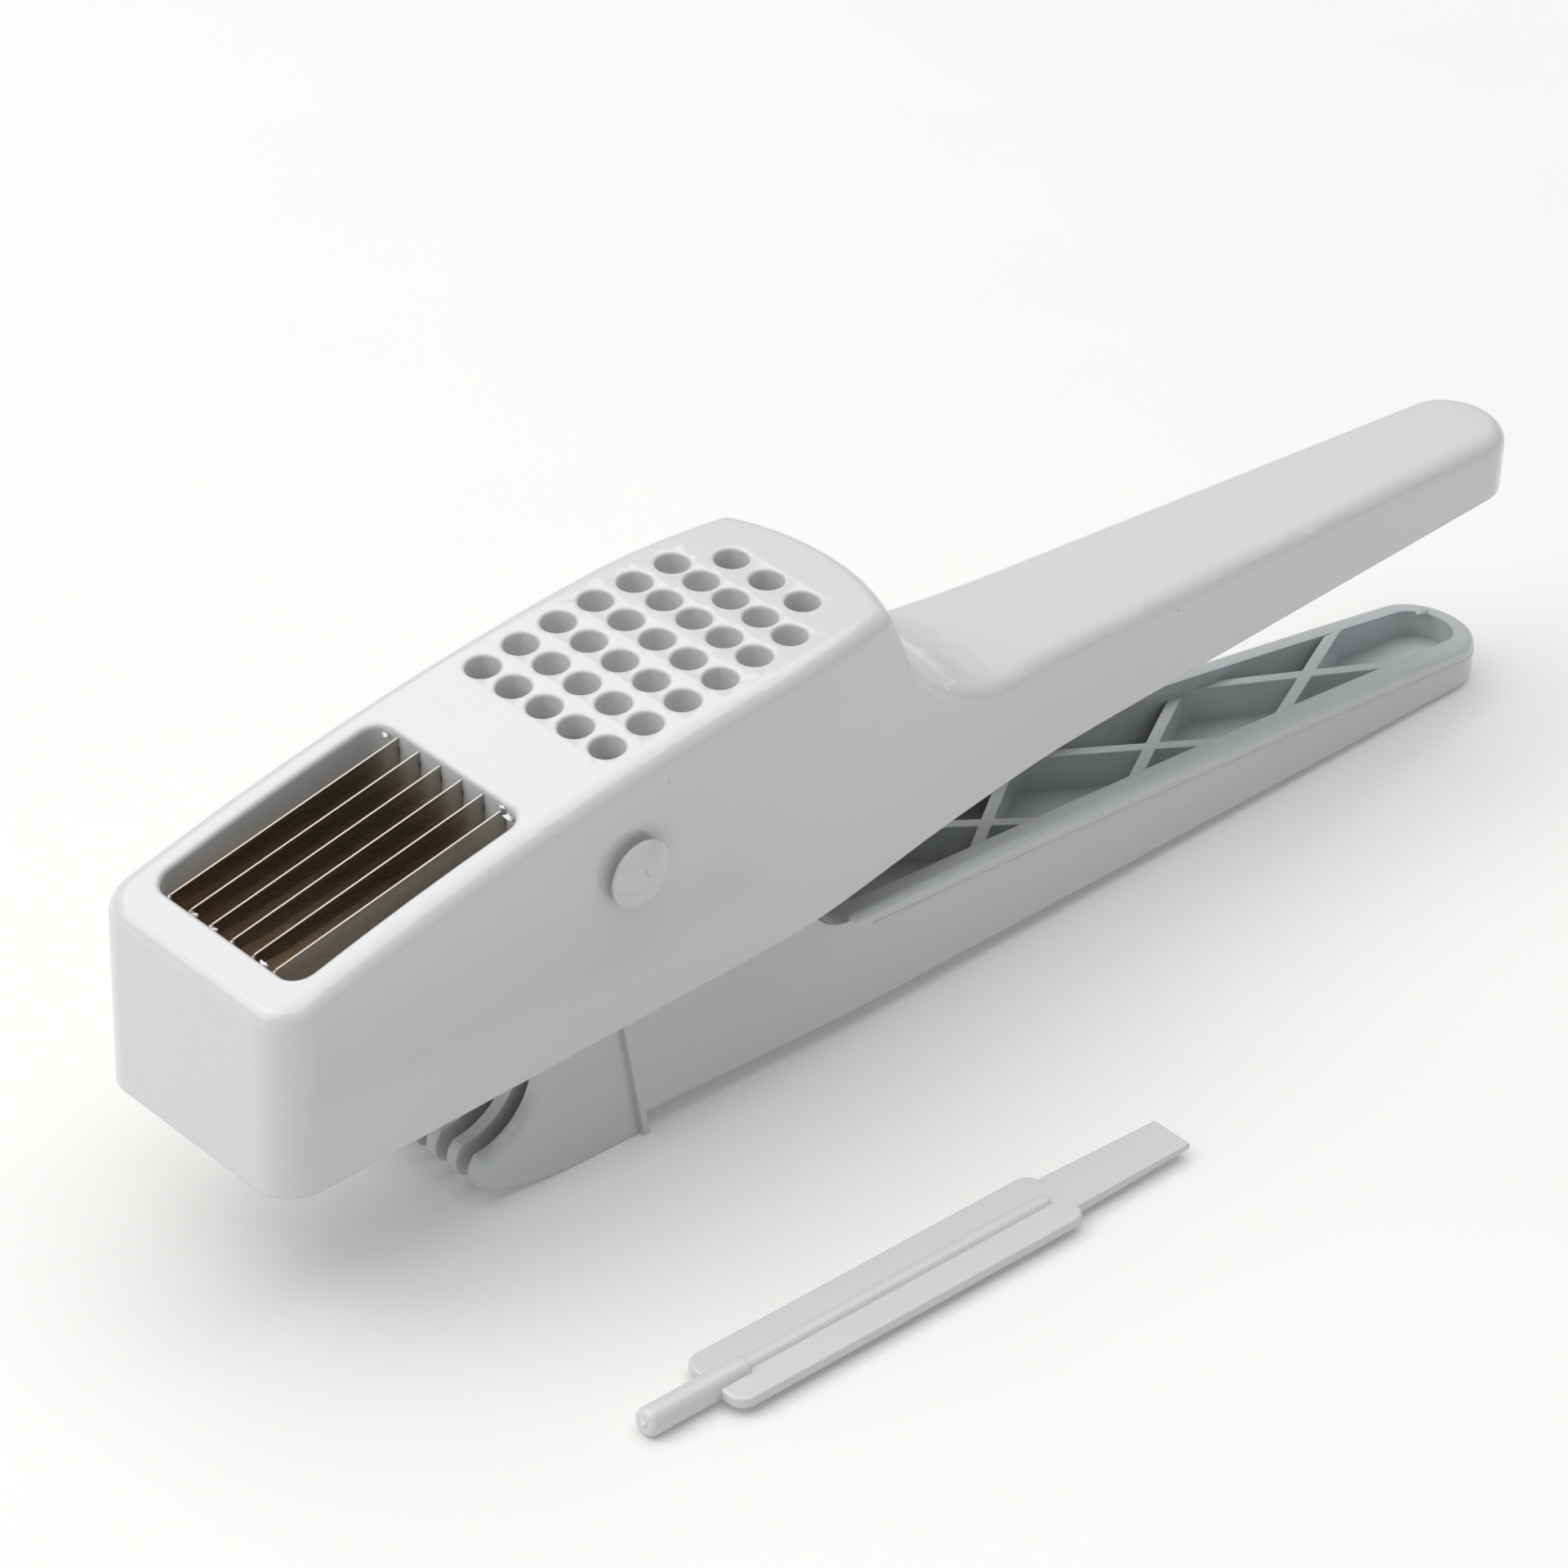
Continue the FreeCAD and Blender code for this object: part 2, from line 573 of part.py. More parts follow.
def lever_beam():
    """Tapered handle beam, before it is hollowed."""
    w = -BIG
    slope = (foot_line_z(LEVER_END_X) - LEVER_BOTTOM_START[1]) / (LEVER_END_X - LEVER_BOTTOM_START[0])
    far_bottom = (RIM_END[0], lever_bottom_z(RIM_END[0], slope))
    rise_low = (RIM_RISE_X, LEVER_TOP_Z - 1.2)
    bend = (RIM_RISE_X + 1.6, RIM_START[1] + 1.5)
    ridge_foot = (ridge_x(LEVER_BOTTOM_START[1]), LEVER_BOTTOM_START[1])
    edges = [
        line(side(RIDGE_TOP, w), side((RIM_RISE_X, LEVER_TOP_Z), w)),
        line(side((RIM_RISE_X, LEVER_TOP_Z), w), side(rise_low, w)),
        arc(side(rise_low, w), side(bend, w), side(RIM_START, w)),
        arc(side(RIM_START, w), side(RIM_MIDDLE, w), side(RIM_END, w)),
        line(side(RIM_END, w), side(far_bottom, w)),
        line(side(far_bottom, w), side(ridge_foot, w)),
        line(side(ridge_foot, w), side(RIDGE_TOP, w)),
    ]
    plan = lever_plan().extrude(V(0, 0, BIG)).translated(V(0, 0, -BIG + 1))
    beam = plan.common(side_prism(edges, BIG))
    beam = beam.makeFillet(RIM_EDGE_ROUND, [e for e in beam.Edges if on_rim(e)])
    return beam.makeFillet(LEVER_BOTTOM_ROUND, [e for e in beam.Edges if on_lever_bottom(e, slope)]), slope


def along_lever(edge):
    """True for edges that run along the lever's sides or round its end."""
    centre = middle(edge)
    upright = abs(edge.tangentAt(0.5 * (edge.FirstParameter + edge.LastParameter)).z) > 0.9
    return not upright and (abs(centre.y) > LEVER_END_R - 2.5 or centre.x > LEVER_END_X - 0.5)


def rim_z(x):
    share = (x - RIM_START[0]) / (RIM_END[0] - RIM_START[0])
    return RIM_START[1] + share * (RIM_END[1] - RIM_START[1])


def on_rim(edge):
    centre = middle(edge)
    return along_lever(edge) and centre.x > RIM_START[0] and abs(centre.z - rim_z(centre.x)) < 1.5


def on_lever_bottom(edge, slope):
    centre = middle(edge)
    return along_lever(edge) and abs(centre.z - lever_bottom_z(centre.x, slope)) < 0.1


def foot_line_z(x):
    """Height of the table under the closed tool."""
    start = foot_ends()[0]
    return start[1] - math.tan(math.radians(REST_LEAN)) * (x - start[0])


def lever_half_width(x):
    share = (x - LEVER_WIDE_END_X) / (LEVER_END_X - LEVER_END_R - LEVER_WIDE_END_X)
    return LEVER_HALF_WIDTH + share * (LEVER_END_R - LEVER_HALF_WIDTH)


def lever_bottom_z(x, slope):
    return LEVER_BOTTOM_START[1] + slope * (x - LEVER_BOTTOM_START[0])


def lever_channel(slope):
    """Open channel of the handle."""
    inner = lever_plan(LEVER_WALL).extrude(V(0, 0, BIG)).translated(V(0, 0, -BIG + 10))
    x0 = CAVITY_FRONT_X
    x1 = LEVER_END_X
    front = rounded_block(x0, x1 + 30, LEVER_HALF_WIDTH - LEVER_WALL, -BIG, BIG, CAVITY_CORNER_R)
    floor = [(x, lever_bottom_z(x, slope) + LEVER_FLOOR) for x in (x0 - 5, x1)]
    space = side_polygon([floor[0], (x0 - 5, 0), (x1, 0), floor[1]], BIG)
    return inner.common(front).common(space)


def lever_ribs(slope):
    """Low crossed ribs on the floor of the handle's channel."""
    x0 = CAVITY_FRONT_X
    x1 = LEVER_END_X - LEVER_WALL

    def reach(x):
        return lever_half_width(x) - LEVER_WALL / 2

    floor = [(x0, lever_bottom_z(x0, slope) + 0.5), (x1, lever_bottom_z(x1, slope) + 0.5)]
    top = [(x1, lever_bottom_z(x1, slope) + RIB_HEIGHT), (x0, lever_bottom_z(x0, slope) + RIB_HEIGHT)]
    ribs = fuse_all(crossed_ribs(RIB_FIRST_X, RIB_COUNT, reach, -BIG, BIG))
    inside = lever_plan(LEVER_WALL / 2).extrude(V(0, 0, BIG)).translated(V(0, 0, -BIG + 1))
    return ribs.common(side_polygon(floor + top, BIG)).common(inside)


def lever_handle():
    """Hollow handle with soft edges and crossed ribs."""
    beam, slope = lever_beam()
    handle = beam.cut(lever_channel(slope))
    floor_z = lever_bottom_z(TUNNEL_FRONT_X, slope) + LEVER_FLOOR
    tunnel = block(TUNNEL_FRONT_X, CAVITY_FRONT_X + 3, TUNNEL_HALF_WIDTH, floor_z, TUNNEL_TOP_Z)
    return handle.cut(tunnel).fuse(lever_ribs(slope).common(beam))


def lower_lever():
    hub = Part.makeCylinder(HUB_R, 2 * HUB_HALF_LENGTH, V(PIVOT.x, -HUB_HALF_LENGTH, PIVOT.z), V(0, 1, 0))
    body = fuse_all([hub, comb_block(), comb_rib(), plunger(), lever_handle()])
    bore = Part.makeCylinder(PIN_R + PIN_RUNNING_GAP, 2 * BIG, V(PIVOT.x, -BIG, PIVOT.z), V(0, 1, 0))
    return body.cut([bore] + comb_slots())


def cleaning_pick():
    """Loose pick: round poker, two flat wings on a rib, and a thin spatula."""
    z = PICK_ROD_R
    rod = Part.makeCylinder(PICK_ROD_R, PICK_WING_X + 4 - PICK_ROD_X, V(PICK_ROD_X, PICK_Y, z), V(1, 0, 0))
    round_tip = [e for e in rod.Edges if abs(e.CenterOfMass.x - PICK_ROD_X) < 0.01]
    rod = rod.makeFillet(0.7, round_tip)
    t = PICK_WING_THICKNESS
    wings = rounded_block(PICK_WING_X, PICK_WING_END_X, PICK_WING_HALF_WIDTH, 0, t, PICK_WING_CORNER_R)
    wings = wings.makeFillet(PICK_EDGE_ROUND, [e for e in wings.Edges if e.BoundBox.ZLength < 0.01])
    wings.translate(V(0, PICK_Y, z - t / 2))
    rib_length = PICK_WING_END_X - 2 - PICK_WING_X
    rib = Part.makeCylinder(PICK_RIB_R, rib_length, V(PICK_WING_X, PICK_Y, z), V(1, 0, 0))
    root = pick_section(PICK_WING_END_X - 3, PICK_BLADE_ROOT_HALF, t, z)
    tip = pick_section(PICK_BLADE_END_X, PICK_BLADE_TIP_HALF, PICK_BLADE_TIP_THICKNESS, z)
    loops = [Part.makePolygon(root + root[:1]), Part.makePolygon(tip + tip[:1])]
    spatula = Part.makeLoft(loops, True, True)
    return fuse_all([rod, wings, rib, spatula])


def pick_section(x, half_width, thickness, z):
    """Corners of the spatula's oblong section at one place along the pick."""
    signs = ((-1, -1), (1, -1), (1, 1), (-1, 1))
    return [V(x, PICK_Y + a * half_width, z + b * thickness / 2) for a, b in signs]


def set_down(shape):
    """Move a shape from the body's frame to the table the closed tool lies on."""
    start, end = foot_ends()
    shape.translate(V(-(start[0] + end[0]) / 2, 0, -(start[1] + end[1]) / 2))
    shape.rotate(V(0, 0, 0), V(0, 1, 0), -REST_LEAN)
    return shape


def main():
    os.makedirs("parts", exist_ok=True)
    blades = [blade(index) for index in range(BLADE_COUNT)]
    nodes = {"upper_body": upper_body(blades), "lower_lever": lower_lever(), "pivot_pin": pivot_pin()}
    for index, plate in enumerate(blades):
        nodes["slicer_blade_%d" % (index + 1)] = plate
    for name, shape in nodes.items():
        set_down(shape)
    nodes["cleaning_pick"] = cleaning_pick()
    for name, shape in nodes.items():
        shape.exportStep("parts/%s.step" % name)
        box = shape.BoundBox
        print(name, shape.isValid(), len(shape.Solids), "volume %.0f" % shape.Volume, box)


main()
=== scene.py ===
"""Looks of a two-way plastic garlic press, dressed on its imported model.

Each sub-assembly is a class that takes its places from the frame, builds its meshes and hands them
to the body they ride on.  All lengths are metres, in the frame's own axes: the closed tool lies on
the table, +X runs to the handles' end, and the hinge pin lies across, along Y.
"""

import logging
import math
from dataclasses import dataclass, field
from enum import Enum

import bmesh
import bpy
from mathutils import Matrix, Vector


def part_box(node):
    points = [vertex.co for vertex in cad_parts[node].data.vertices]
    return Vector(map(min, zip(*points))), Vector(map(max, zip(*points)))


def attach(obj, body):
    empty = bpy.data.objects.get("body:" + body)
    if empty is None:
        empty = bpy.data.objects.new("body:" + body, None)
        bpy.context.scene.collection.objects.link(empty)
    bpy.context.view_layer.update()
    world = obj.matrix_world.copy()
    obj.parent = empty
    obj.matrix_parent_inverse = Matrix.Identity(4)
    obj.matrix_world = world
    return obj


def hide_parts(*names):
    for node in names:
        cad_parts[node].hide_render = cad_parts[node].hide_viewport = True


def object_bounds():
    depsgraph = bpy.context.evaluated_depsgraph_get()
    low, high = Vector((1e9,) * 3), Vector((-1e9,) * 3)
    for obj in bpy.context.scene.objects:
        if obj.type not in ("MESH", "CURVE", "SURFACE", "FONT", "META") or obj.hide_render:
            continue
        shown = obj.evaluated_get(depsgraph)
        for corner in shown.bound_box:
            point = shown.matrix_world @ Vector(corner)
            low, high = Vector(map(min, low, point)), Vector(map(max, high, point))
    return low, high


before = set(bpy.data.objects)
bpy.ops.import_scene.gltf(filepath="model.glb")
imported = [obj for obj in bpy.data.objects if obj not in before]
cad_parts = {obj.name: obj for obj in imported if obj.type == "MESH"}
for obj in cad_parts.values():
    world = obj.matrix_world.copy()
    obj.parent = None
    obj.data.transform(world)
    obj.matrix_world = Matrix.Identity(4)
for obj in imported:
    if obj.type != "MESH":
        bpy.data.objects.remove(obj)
CAD_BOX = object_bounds()

MM = 0.001
log = logging.getLogger("garlic_press")

Colour = tuple[float, float, float]
BLADE_COUNT = 6


class Body(Enum):
    """The moving bodies that pieces ride on."""

    HEAD = "body"
    LEVER = "lever"
    PICK = "pick"


class Slot(Enum):
    """The record's material slots."""

    HEAD = "body_plastic"
    LEVER = "lever_plastic"
    PIN = "pin_plastic"
    STEEL = "blade_steel"
    PICK = "pick_plastic"


# ---------------------------------------------------------------------------------- node helpers


class ShaderBoard:
    """A material's node tree, with short calls to add nodes and join them."""

    def __init__(self, name: str) -> None:
        """Start an empty material.

        Args:
            name: the material's name.
        """
        self.material = bpy.data.materials.new(name)
        self.material.use_nodes = True
        self.tree = self.material.node_tree
        self.tree.nodes.clear()
        self.place = self.add("ShaderNodeTexCoord").outputs["Object"]

    def add(self, kind: str, **settings: object) -> bpy.types.Node:
        """Add a node.

        Args:
            kind: Blender's name for the node type.
            settings: the node's properties.

        Returns:
            The new node.
        """
        node = self.tree.nodes.new(kind)
        for key, value in settings.items():
            setattr(node, key, value)
        return node

    def put(self, node: bpy.types.Node, socket: str | int, value: object) -> None:
        """Join an output to a node's input, or set the input's own value.

        Args:
            node: the node that takes the value.
            socket: its input, by name or place.
            value: another node's output, or a plain value.
        """
        target = node.inputs[socket]
        if isinstance(value, bpy.types.NodeSocket):
            self.tree.links.new(value, target)
        else:
            target.default_value = value

    def noise(self, scale: float, detail: float = 2.0,
              stretch: Colour = (1.0, 1.0, 1.0)) -> bpy.types.NodeSocket:
        """Noise over the piece's own coordinates.

        Args:
            scale: cells per metre.
            detail: octaves.
            stretch: scale along each axis.

        Returns:
            The noise value, 0 to 1.
        """
        mapping = self.add("ShaderNodeMapping")
        self.put(mapping, "Vector", self.place)
        self.put(mapping, "Scale", stretch)
        noise = self.add("ShaderNodeTexNoise")
        self.put(noise, "Vector", mapping.outputs["Vector"])
        self.put(noise, "Scale", scale)
        self.put(noise, "Detail", detail)
        return noise.outputs["Fac"]

    def spread(self, value: bpy.types.NodeSocket, low: float, high: float, start: float = 0.3,
               end: float = 0.7) -> bpy.types.NodeSocket:
        """Carry a value over from one range to another.

        Args:
            value: what to carry over.
            low: result at the start.
            high: result at the end.
            start: lowest value taken.
            end: highest value taken.

        Returns:
            The value in its new range.
        """
        node = self.add("ShaderNodeMapRange")
        self.put(node, "Value", value)
        self.put(node, "From Min", start)
        self.put(node, "From Max", end)
        self.put(node, "To Min", low)
        self.put(node, "To Max", high)
        return node.outputs["Result"]

    def blend(self, share: bpy.types.NodeSocket, first: object, second: object) -> bpy.types.NodeSocket:
        """Mix two colours.

        Args:
            share: share of the second colour.
            first: colour, or a colour output.
            second: colour, or a colour output.

        Returns:
            The mixed colour.
        """
        node = self.add("ShaderNodeMix", data_type="RGBA")
        self.put(node, 0, share)
        self.put(node, 6, opaque(first))
        self.put(node, 7, opaque(second))
        return node.outputs[2]

    def sum(self, operation: str, first: object, second: object = 0.0) -> bpy.types.NodeSocket:
        """One step of arithmetic.

        Args:
            operation: Blender's name for the step.
            first: number, or a number output.
            second: number, or a number output.

        Returns:
            The step's result.
        """
        node = self.add("ShaderNodeMath", operation=operation)
        self.put(node, 0, first)
        self.put(node, 1, second)
        return node.outputs[0]

    def bump(self, height: bpy.types.NodeSocket, depth: float, strength: float,
             under: bpy.types.NodeSocket | None = None) -> bpy.types.NodeSocket:
        """Raise the surface's shading by a height.

        Args:
            height: how high, 0 to 1.
            depth: metres that 1 stands for.
            strength: how much of it shows.
            under: the normal that it lies on, if not the surface's own.

        Returns:
            The new normal.
        """
        node = self.add("ShaderNodeBump")
        self.put(node, "Height", height)
        self.put(node, "Distance", depth)
        self.put(node, "Strength", strength)
        if under is not None:
            self.put(node, "Normal", under)
        return node.outputs["Normal"]

    def finish(self, shader: bpy.types.Node) -> bpy.types.Material:
        """Join the shader to the output.

        Args:
            shader: the surface's last node.

        Returns:
            The finished material.
        """
        output = self.add("ShaderNodeOutputMaterial")
        self.put(output, "Surface", shader.outputs[0])
        return self.material


def opaque(value: object) -> object:
    """Give a plain colour its alpha.

    Args:
        value: colour, or a colour output.

    Returns:
        The colour with alpha 1, or the output as it is.
    """
    return value if isinstance(value, bpy.types.NodeSocket) else (*value, 1.0)


def tinted(colour: Colour, factor: float) -> Colour:
    """Make a colour lighter or darker.

    Args:
        colour: what to change.
        factor: above 1 is lighter.

    Returns:
        The new colour, with no part above 1.
    """
    return tuple(min(1.0, part * factor) for part in colour)


# -------------------------------------------------------------------------------------- finishes


@dataclass(frozen=True)
class MouldedPlastic:
    """Glossy injection-moulded plastic with soft edges, a painted highlight along them, flow clouding and a
    few specks.
    """

    name: str
    colour: Colour
    roughness: float = 0.19
    edge_round: float = 0.35 * MM
    cloud_scale: float = 22.0
    cloud_depth: float = 0.012
    edge_light: float = 1.10
    edge_range: tuple[float, float] = (0.80, 0.99)
    sheen_scale: float = 120.0
    sheen_range: tuple[float, float] = (-0.02, 0.03)
    peel_scale: float = 900.0
    peel_depth: float = 0.003 * MM
    peel_strength: float = 0.5
    sink_scale: float = 40.0
    sink_depth: float = 0.20 * MM
    sink_strength: float = 0.35
    speck_scale: float = 150.0
    speck_size: float = 0.03
    speck_share: float = 0.9
    speck_colour: float = 0.45
    speck_strength: float = 0.7
    glow: float = 0.06
    glow_depth: float = 0.8 * MM
    coat: float = 0.5
    coat_roughness: float = 0.06
    ior: float = 1.5

    def material(self) -> bpy.types.Material:
        """Build the node tree.

        Returns:
            The finished material.
        """
        board = ShaderBoard(self.name)
        rounded = board.add("ShaderNodeBevel", samples=4)
        board.put(rounded, "Radius", self.edge_round)
        cloud = board.spread(board.noise(self.cloud_scale, 1.0), 0.0, 1.0, 0.0, 1.0)
        dark, light = (tinted(self.colour, 1 + sign * self.cloud_depth) for sign in (-1, 1))
        base = board.blend(cloud, dark, light)
        # Painted highlight: the colour is made lighter along the rounded edges.
        base = board.blend(self.edge_share(board, rounded), base, tinted(self.colour, self.edge_light))
        base = board.blend(self.speck_mask(board), base, tinted(self.colour, self.speck_colour))
        smooth, rough = (self.roughness + part for part in self.sheen_range)
        sheen = board.spread(board.noise(self.sheen_scale, 1.0), smooth, rough, 0.0, 1.0)
        dents = board.noise(self.sink_scale, 1.0)
        sink = board.bump(dents, self.sink_depth, self.sink_strength, rounded.outputs["Normal"])
        peel = board.bump(board.noise(self.peel_scale, 2.0), self.peel_depth, self.peel_strength, sink)
        shader = board.add("ShaderNodeBsdfPrincipled")
        board.put(shader, "Base Color", base)
        board.put(shader, "Roughness", sheen)
        board.put(shader, "IOR", self.ior)
        board.put(shader, "Subsurface Weight", self.glow)
        board.put(shader, "Subsurface Radius", (1.0, 1.0, 1.0))
        board.put(shader, "Subsurface Scale", self.glow_depth)
        board.put(shader, "Coat Weight", self.coat)
        board.put(shader, "Coat Roughness", self.coat_roughness)
        board.put(shader, "Normal", peel)
        return board.finish(shader)

    def edge_share(self, board: ShaderBoard, rounded: bpy.types.Node) -> bpy.types.NodeSocket:
        """Share of painted highlight on a thin edge, from how far the rounded normal leaves the flat one.

        Args:
            board: the material that it is built in.
            rounded: the bevel node.

        Returns:
            The share, 0 on flat faces to 1 on edges.
        """
        surface = board.add("ShaderNodeNewGeometry").outputs["Normal"]
        product = board.add("ShaderNodeVectorMath", operation="DOT_PRODUCT")
        board.put(product, 0, rounded.outputs["Normal"])
        board.put(product, 1, surface)
        return board.spread(product.outputs["Value"], 1.0, 0.0, *self.edge_range)

    def speck_mask(self, board: ShaderBoard) -> bpy.types.NodeSocket:
        """Sparse dark specks, one in a few cells.

        Args:
            board: the material that it is built in.

        Returns:
            How far each speck covers the surface.
        """
        cells = board.add("ShaderNodeTexVoronoi")
        board.put(cells, "Vector", board.place)
        board.put(cells, "Scale", self.speck_scale)
        near = board.sum("LESS_THAN", cells.outputs["Distance"], self.speck_size)
        pick = board.add("ShaderNodeSeparateColor")
        board.put(pick, "Color", cells.outputs["Color"])
        chosen = board.sum("GREATER_THAN", pick.outputs["Red"], self.speck_share)
        return board.sum("MULTIPLY", board.sum("MULTIPLY", near, chosen), self.speck_strength)


@dataclass(frozen=True)
class RolledSteel:
    """Thin stainless strip with rolling lines along its length and a painted brown reflection of the dark
    chamber low down.
    """

    name: str
    colour: Colour
    painted_reflection_tint: Colour
    line_scale: float = 60.0
    line_stretch: Colour = (0.6, 1.0, 60.0)
    line_depth: float = 0.0015 * MM
    line_strength: float = 0.04
    line_shade: float = 0.98
    reflection_patch_scale: float = 90.0
    reflection_patch_least: float = 0.35
    roughness: float = 0.27
    roughness_range: tuple[float, float] = (-0.03, 0.04)
    brushing: float = 0.5
    low_z: float = 0.031
    high_z: float = 0.045

    def material(self) -> bpy.types.Material:
        """Build the node tree.

        Returns:
            The finished material.
        """
        board = ShaderBoard(self.name)
        lines = board.noise(self.line_scale, 3.0, self.line_stretch)
        # Painted reflection: brown is blended in lower down on the blades and broken into patches, standing
        # in for the dark chamber that they reflect.
        reflection_patches = board.noise(self.reflection_patch_scale, 1.0)
        split = board.add("ShaderNodeSeparateXYZ")
        board.put(split, "Vector", board.place)
        depth = board.spread(split.outputs["Z"], 1.0, 0.0, self.low_z, self.high_z)
        painted_reflection_share = board.sum("MULTIPLY", depth, board.spread(reflection_patches, self.reflection_patch_least, 1.0))
        base = board.blend(board.spread(lines, 0.0, 1.0), tinted(self.colour, self.line_shade), self.colour)
        base = board.blend(painted_reflection_share, base, self.painted_reflection_tint)
        smooth, rough = (self.roughness + part for part in self.roughness_range)
        shader = board.add("ShaderNodeBsdfPrincipled")
        board.put(shader, "Base Color", base)
        board.put(shader, "Metallic", 1.0)
        board.put(shader, "Roughness", board.spread(lines, smooth, rough))
        board.put(shader, "Anisotropic", self.brushing)
        board.put(shader, "Normal", board.bump(lines, self.line_depth, self.line_strength))
        return board.finish(shader)


@dataclass(frozen=True)
class TableTop:
    """Plain pale table under the tool, lit a little from within so that shadows stay soft."""

    name: str = "table_top"
    colour: Colour = (0.770, 0.756, 0.735)
    cloud_scale: float = 3.0
    cloud_depth: float = 0.01
    grain_scale: float = 40.0
    roughness: tuple[float, float] = (0.55, 0.7)
    specular: float = 0.2
    lift: float = 0.14

    def material(self) -> bpy.types.Material:
        """Build a matt, very slightly clouded surface.

        Returns:
            The finished material.
        """
        board = ShaderBoard(self.name)
        cloud = board.spread(board.noise(self.cloud_scale, 3.0), 0.0, 1.0)
        dark, light = (tinted(self.colour, 1 + sign * self.cloud_depth) for sign in (-1, 1))
        shader = board.add("ShaderNodeBsdfPrincipled")
        board.put(shader, "Base Color", board.blend(cloud, dark, light))
        board.put(shader, "Roughness", board.spread(board.noise(self.grain_scale, 2.0), *self.roughness))
        board.put(shader, "Specular IOR Level", self.specular)
        board.put(shader, "Emission Color", opaque(self.colour))
        board.put(shader, "Emission Strength", self.lift)
        return board.finish(shader)


HEAD_PLASTIC = MouldedPlastic("head_plastic", (0.640, 0.644, 0.646))
LEVER_PLASTIC = MouldedPlastic(
    "lever_plastic_grey", (0.575, 0.592, 0.594), roughness=0.28, edge_round=0.22 * MM)
PIN_PLASTIC = MouldedPlastic("pin_plastic_grey", (0.620, 0.625, 0.622), edge_round=0.25 * MM)
PICK_PLASTIC = MouldedPlastic(
    "pick_plastic_grey", (0.625, 0.632, 0.640), roughness=0.30, edge_round=0.2 * MM)
FLASH_PLASTIC = MouldedPlastic(
    "flash_plastic", (0.74, 0.745, 0.75), roughness=0.55, edge_round=0.05 * MM, coat=0.0)
# The second colour is the painted brown reflection low on the blades.
BLADE_STEEL = RolledSteel("rolled_blade_steel", (0.50, 0.465, 0.42), (0.50, 0.37, 0.235))
Finish = MouldedPlastic | RolledSteel
MADE: dict[str, bpy.types.Material] = {}


def made(finish: Finish) -> bpy.types.Material:
    """Build a finish's material once, and find it again after that.

    Args:
        finish: which finish.

    Returns:
        Its material.
    """
    if finish.name not in MADE:
        MADE[finish.name] = finish.material()
    return MADE[finish.name]


# ---------------------------------------------------------------------------------- mesh helpers


SAME_POINT = 0.002 * MM
NO_LENGTH = 0.001 * MM


def weld(node: str, name: str, sharp_deg: float = 32.0) -> bpy.types.Object:
    """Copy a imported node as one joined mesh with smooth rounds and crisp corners.

    Args:
        node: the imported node's name.
        name: the new piece's name.
        sharp_deg: faces that meet at more than this stay crisp.

    Returns:
        The new object, at the origin.
    """
    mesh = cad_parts[node].data.copy()
    bm = bmesh.new()
    bm.from_mesh(mesh)
    bmesh.ops.remove_doubles(bm, verts=bm.verts, dist=SAME_POINT)
    bmesh.ops.dissolve_degenerate(bm, edges=bm.edges, dist=NO_LENGTH)
    crisp = math.radians(sharp_deg)
    for face in bm.faces:
        face.smooth = True
    for edge in bm.edges:
        edge.smooth = len(edge.link_faces) == 2 and edge.calc_face_angle(math.pi) < crisp
    bm.to_mesh(mesh)
    bm.free()
    mesh.materials.clear()
    return place_mesh(mesh, name)


def place_mesh(mesh: bpy.types.Mesh, name: str) -> bpy.types.Object:
    """Put a mesh in the scene.

    Args:
        mesh: what to show.
        name: the object's name.

    Returns:
        The new object, at the origin.
    """
    mesh.name = name
    piece = bpy.data.objects.new(name, mesh)
    bpy.context.scene.collection.objects.link(piece)
    return piece


def settle(piece: bpy.types.Object) -> bpy.types.Object:
    """Turn a piece's live modifiers into plain mesh and remove them.

    Args:
        piece: the mesh or curve object.

    Returns:
        The same piece, or the mesh object that stands for a curve.
    """
    bpy.context.view_layer.update()
    graph = bpy.context.evaluated_depsgraph_get()
    live = piece.evaluated_get(graph)
    mesh = bpy.data.meshes.new_from_object(live, preserve_all_data_layers=True, depsgraph=graph)
    name = piece.name
    if piece.type == "MESH":
        piece.modifiers.clear()
        piece.data = mesh
        mesh.name = name
        return piece
    bpy.data.objects.remove(piece)
    return place_mesh(mesh, name)


def even_normals(piece: bpy.types.Object) -> bpy.types.Object:
    """Let large flat faces rule the shading, so that rounds end where they should.

    Args:
        piece: the mesh object.

    Returns:
        The same piece.
    """
    modifier = piece.modifiers.new("even_normals", "WEIGHTED_NORMAL")
    modifier.keep_sharp = True
    modifier.weight = 80
    return settle(piece)


def dress(piece: bpy.types.Object, finish: Finish, slot: Slot, body: Body, *nodes: str) -> None:
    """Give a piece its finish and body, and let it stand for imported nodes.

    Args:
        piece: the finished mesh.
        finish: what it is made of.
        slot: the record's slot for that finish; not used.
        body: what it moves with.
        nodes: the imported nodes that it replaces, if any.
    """
    material = made(finish)
    piece.data.materials.clear()
    piece.data.materials.append(material)
    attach(piece, body.value)
    if nodes:
        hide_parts(*nodes)
    log.info("%s: %d faces on %s", piece.name, len(piece.data.polygons), body.value)


def dress_node(node: str, name: str, finish: Finish, slot: Slot, body: Body) -> None:
    """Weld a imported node, shade it evenly, and let the result stand for it.

    Args:
        node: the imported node's name.
        name: the new piece's name.
        finish: what it is made of.
        slot: the record's slot for that finish.
        body: what it moves with.
    """
    dress(even_normals(weld(node, name)), finish, slot, body, node)


# -------------------------------------------------------------------------- geometry node helpers


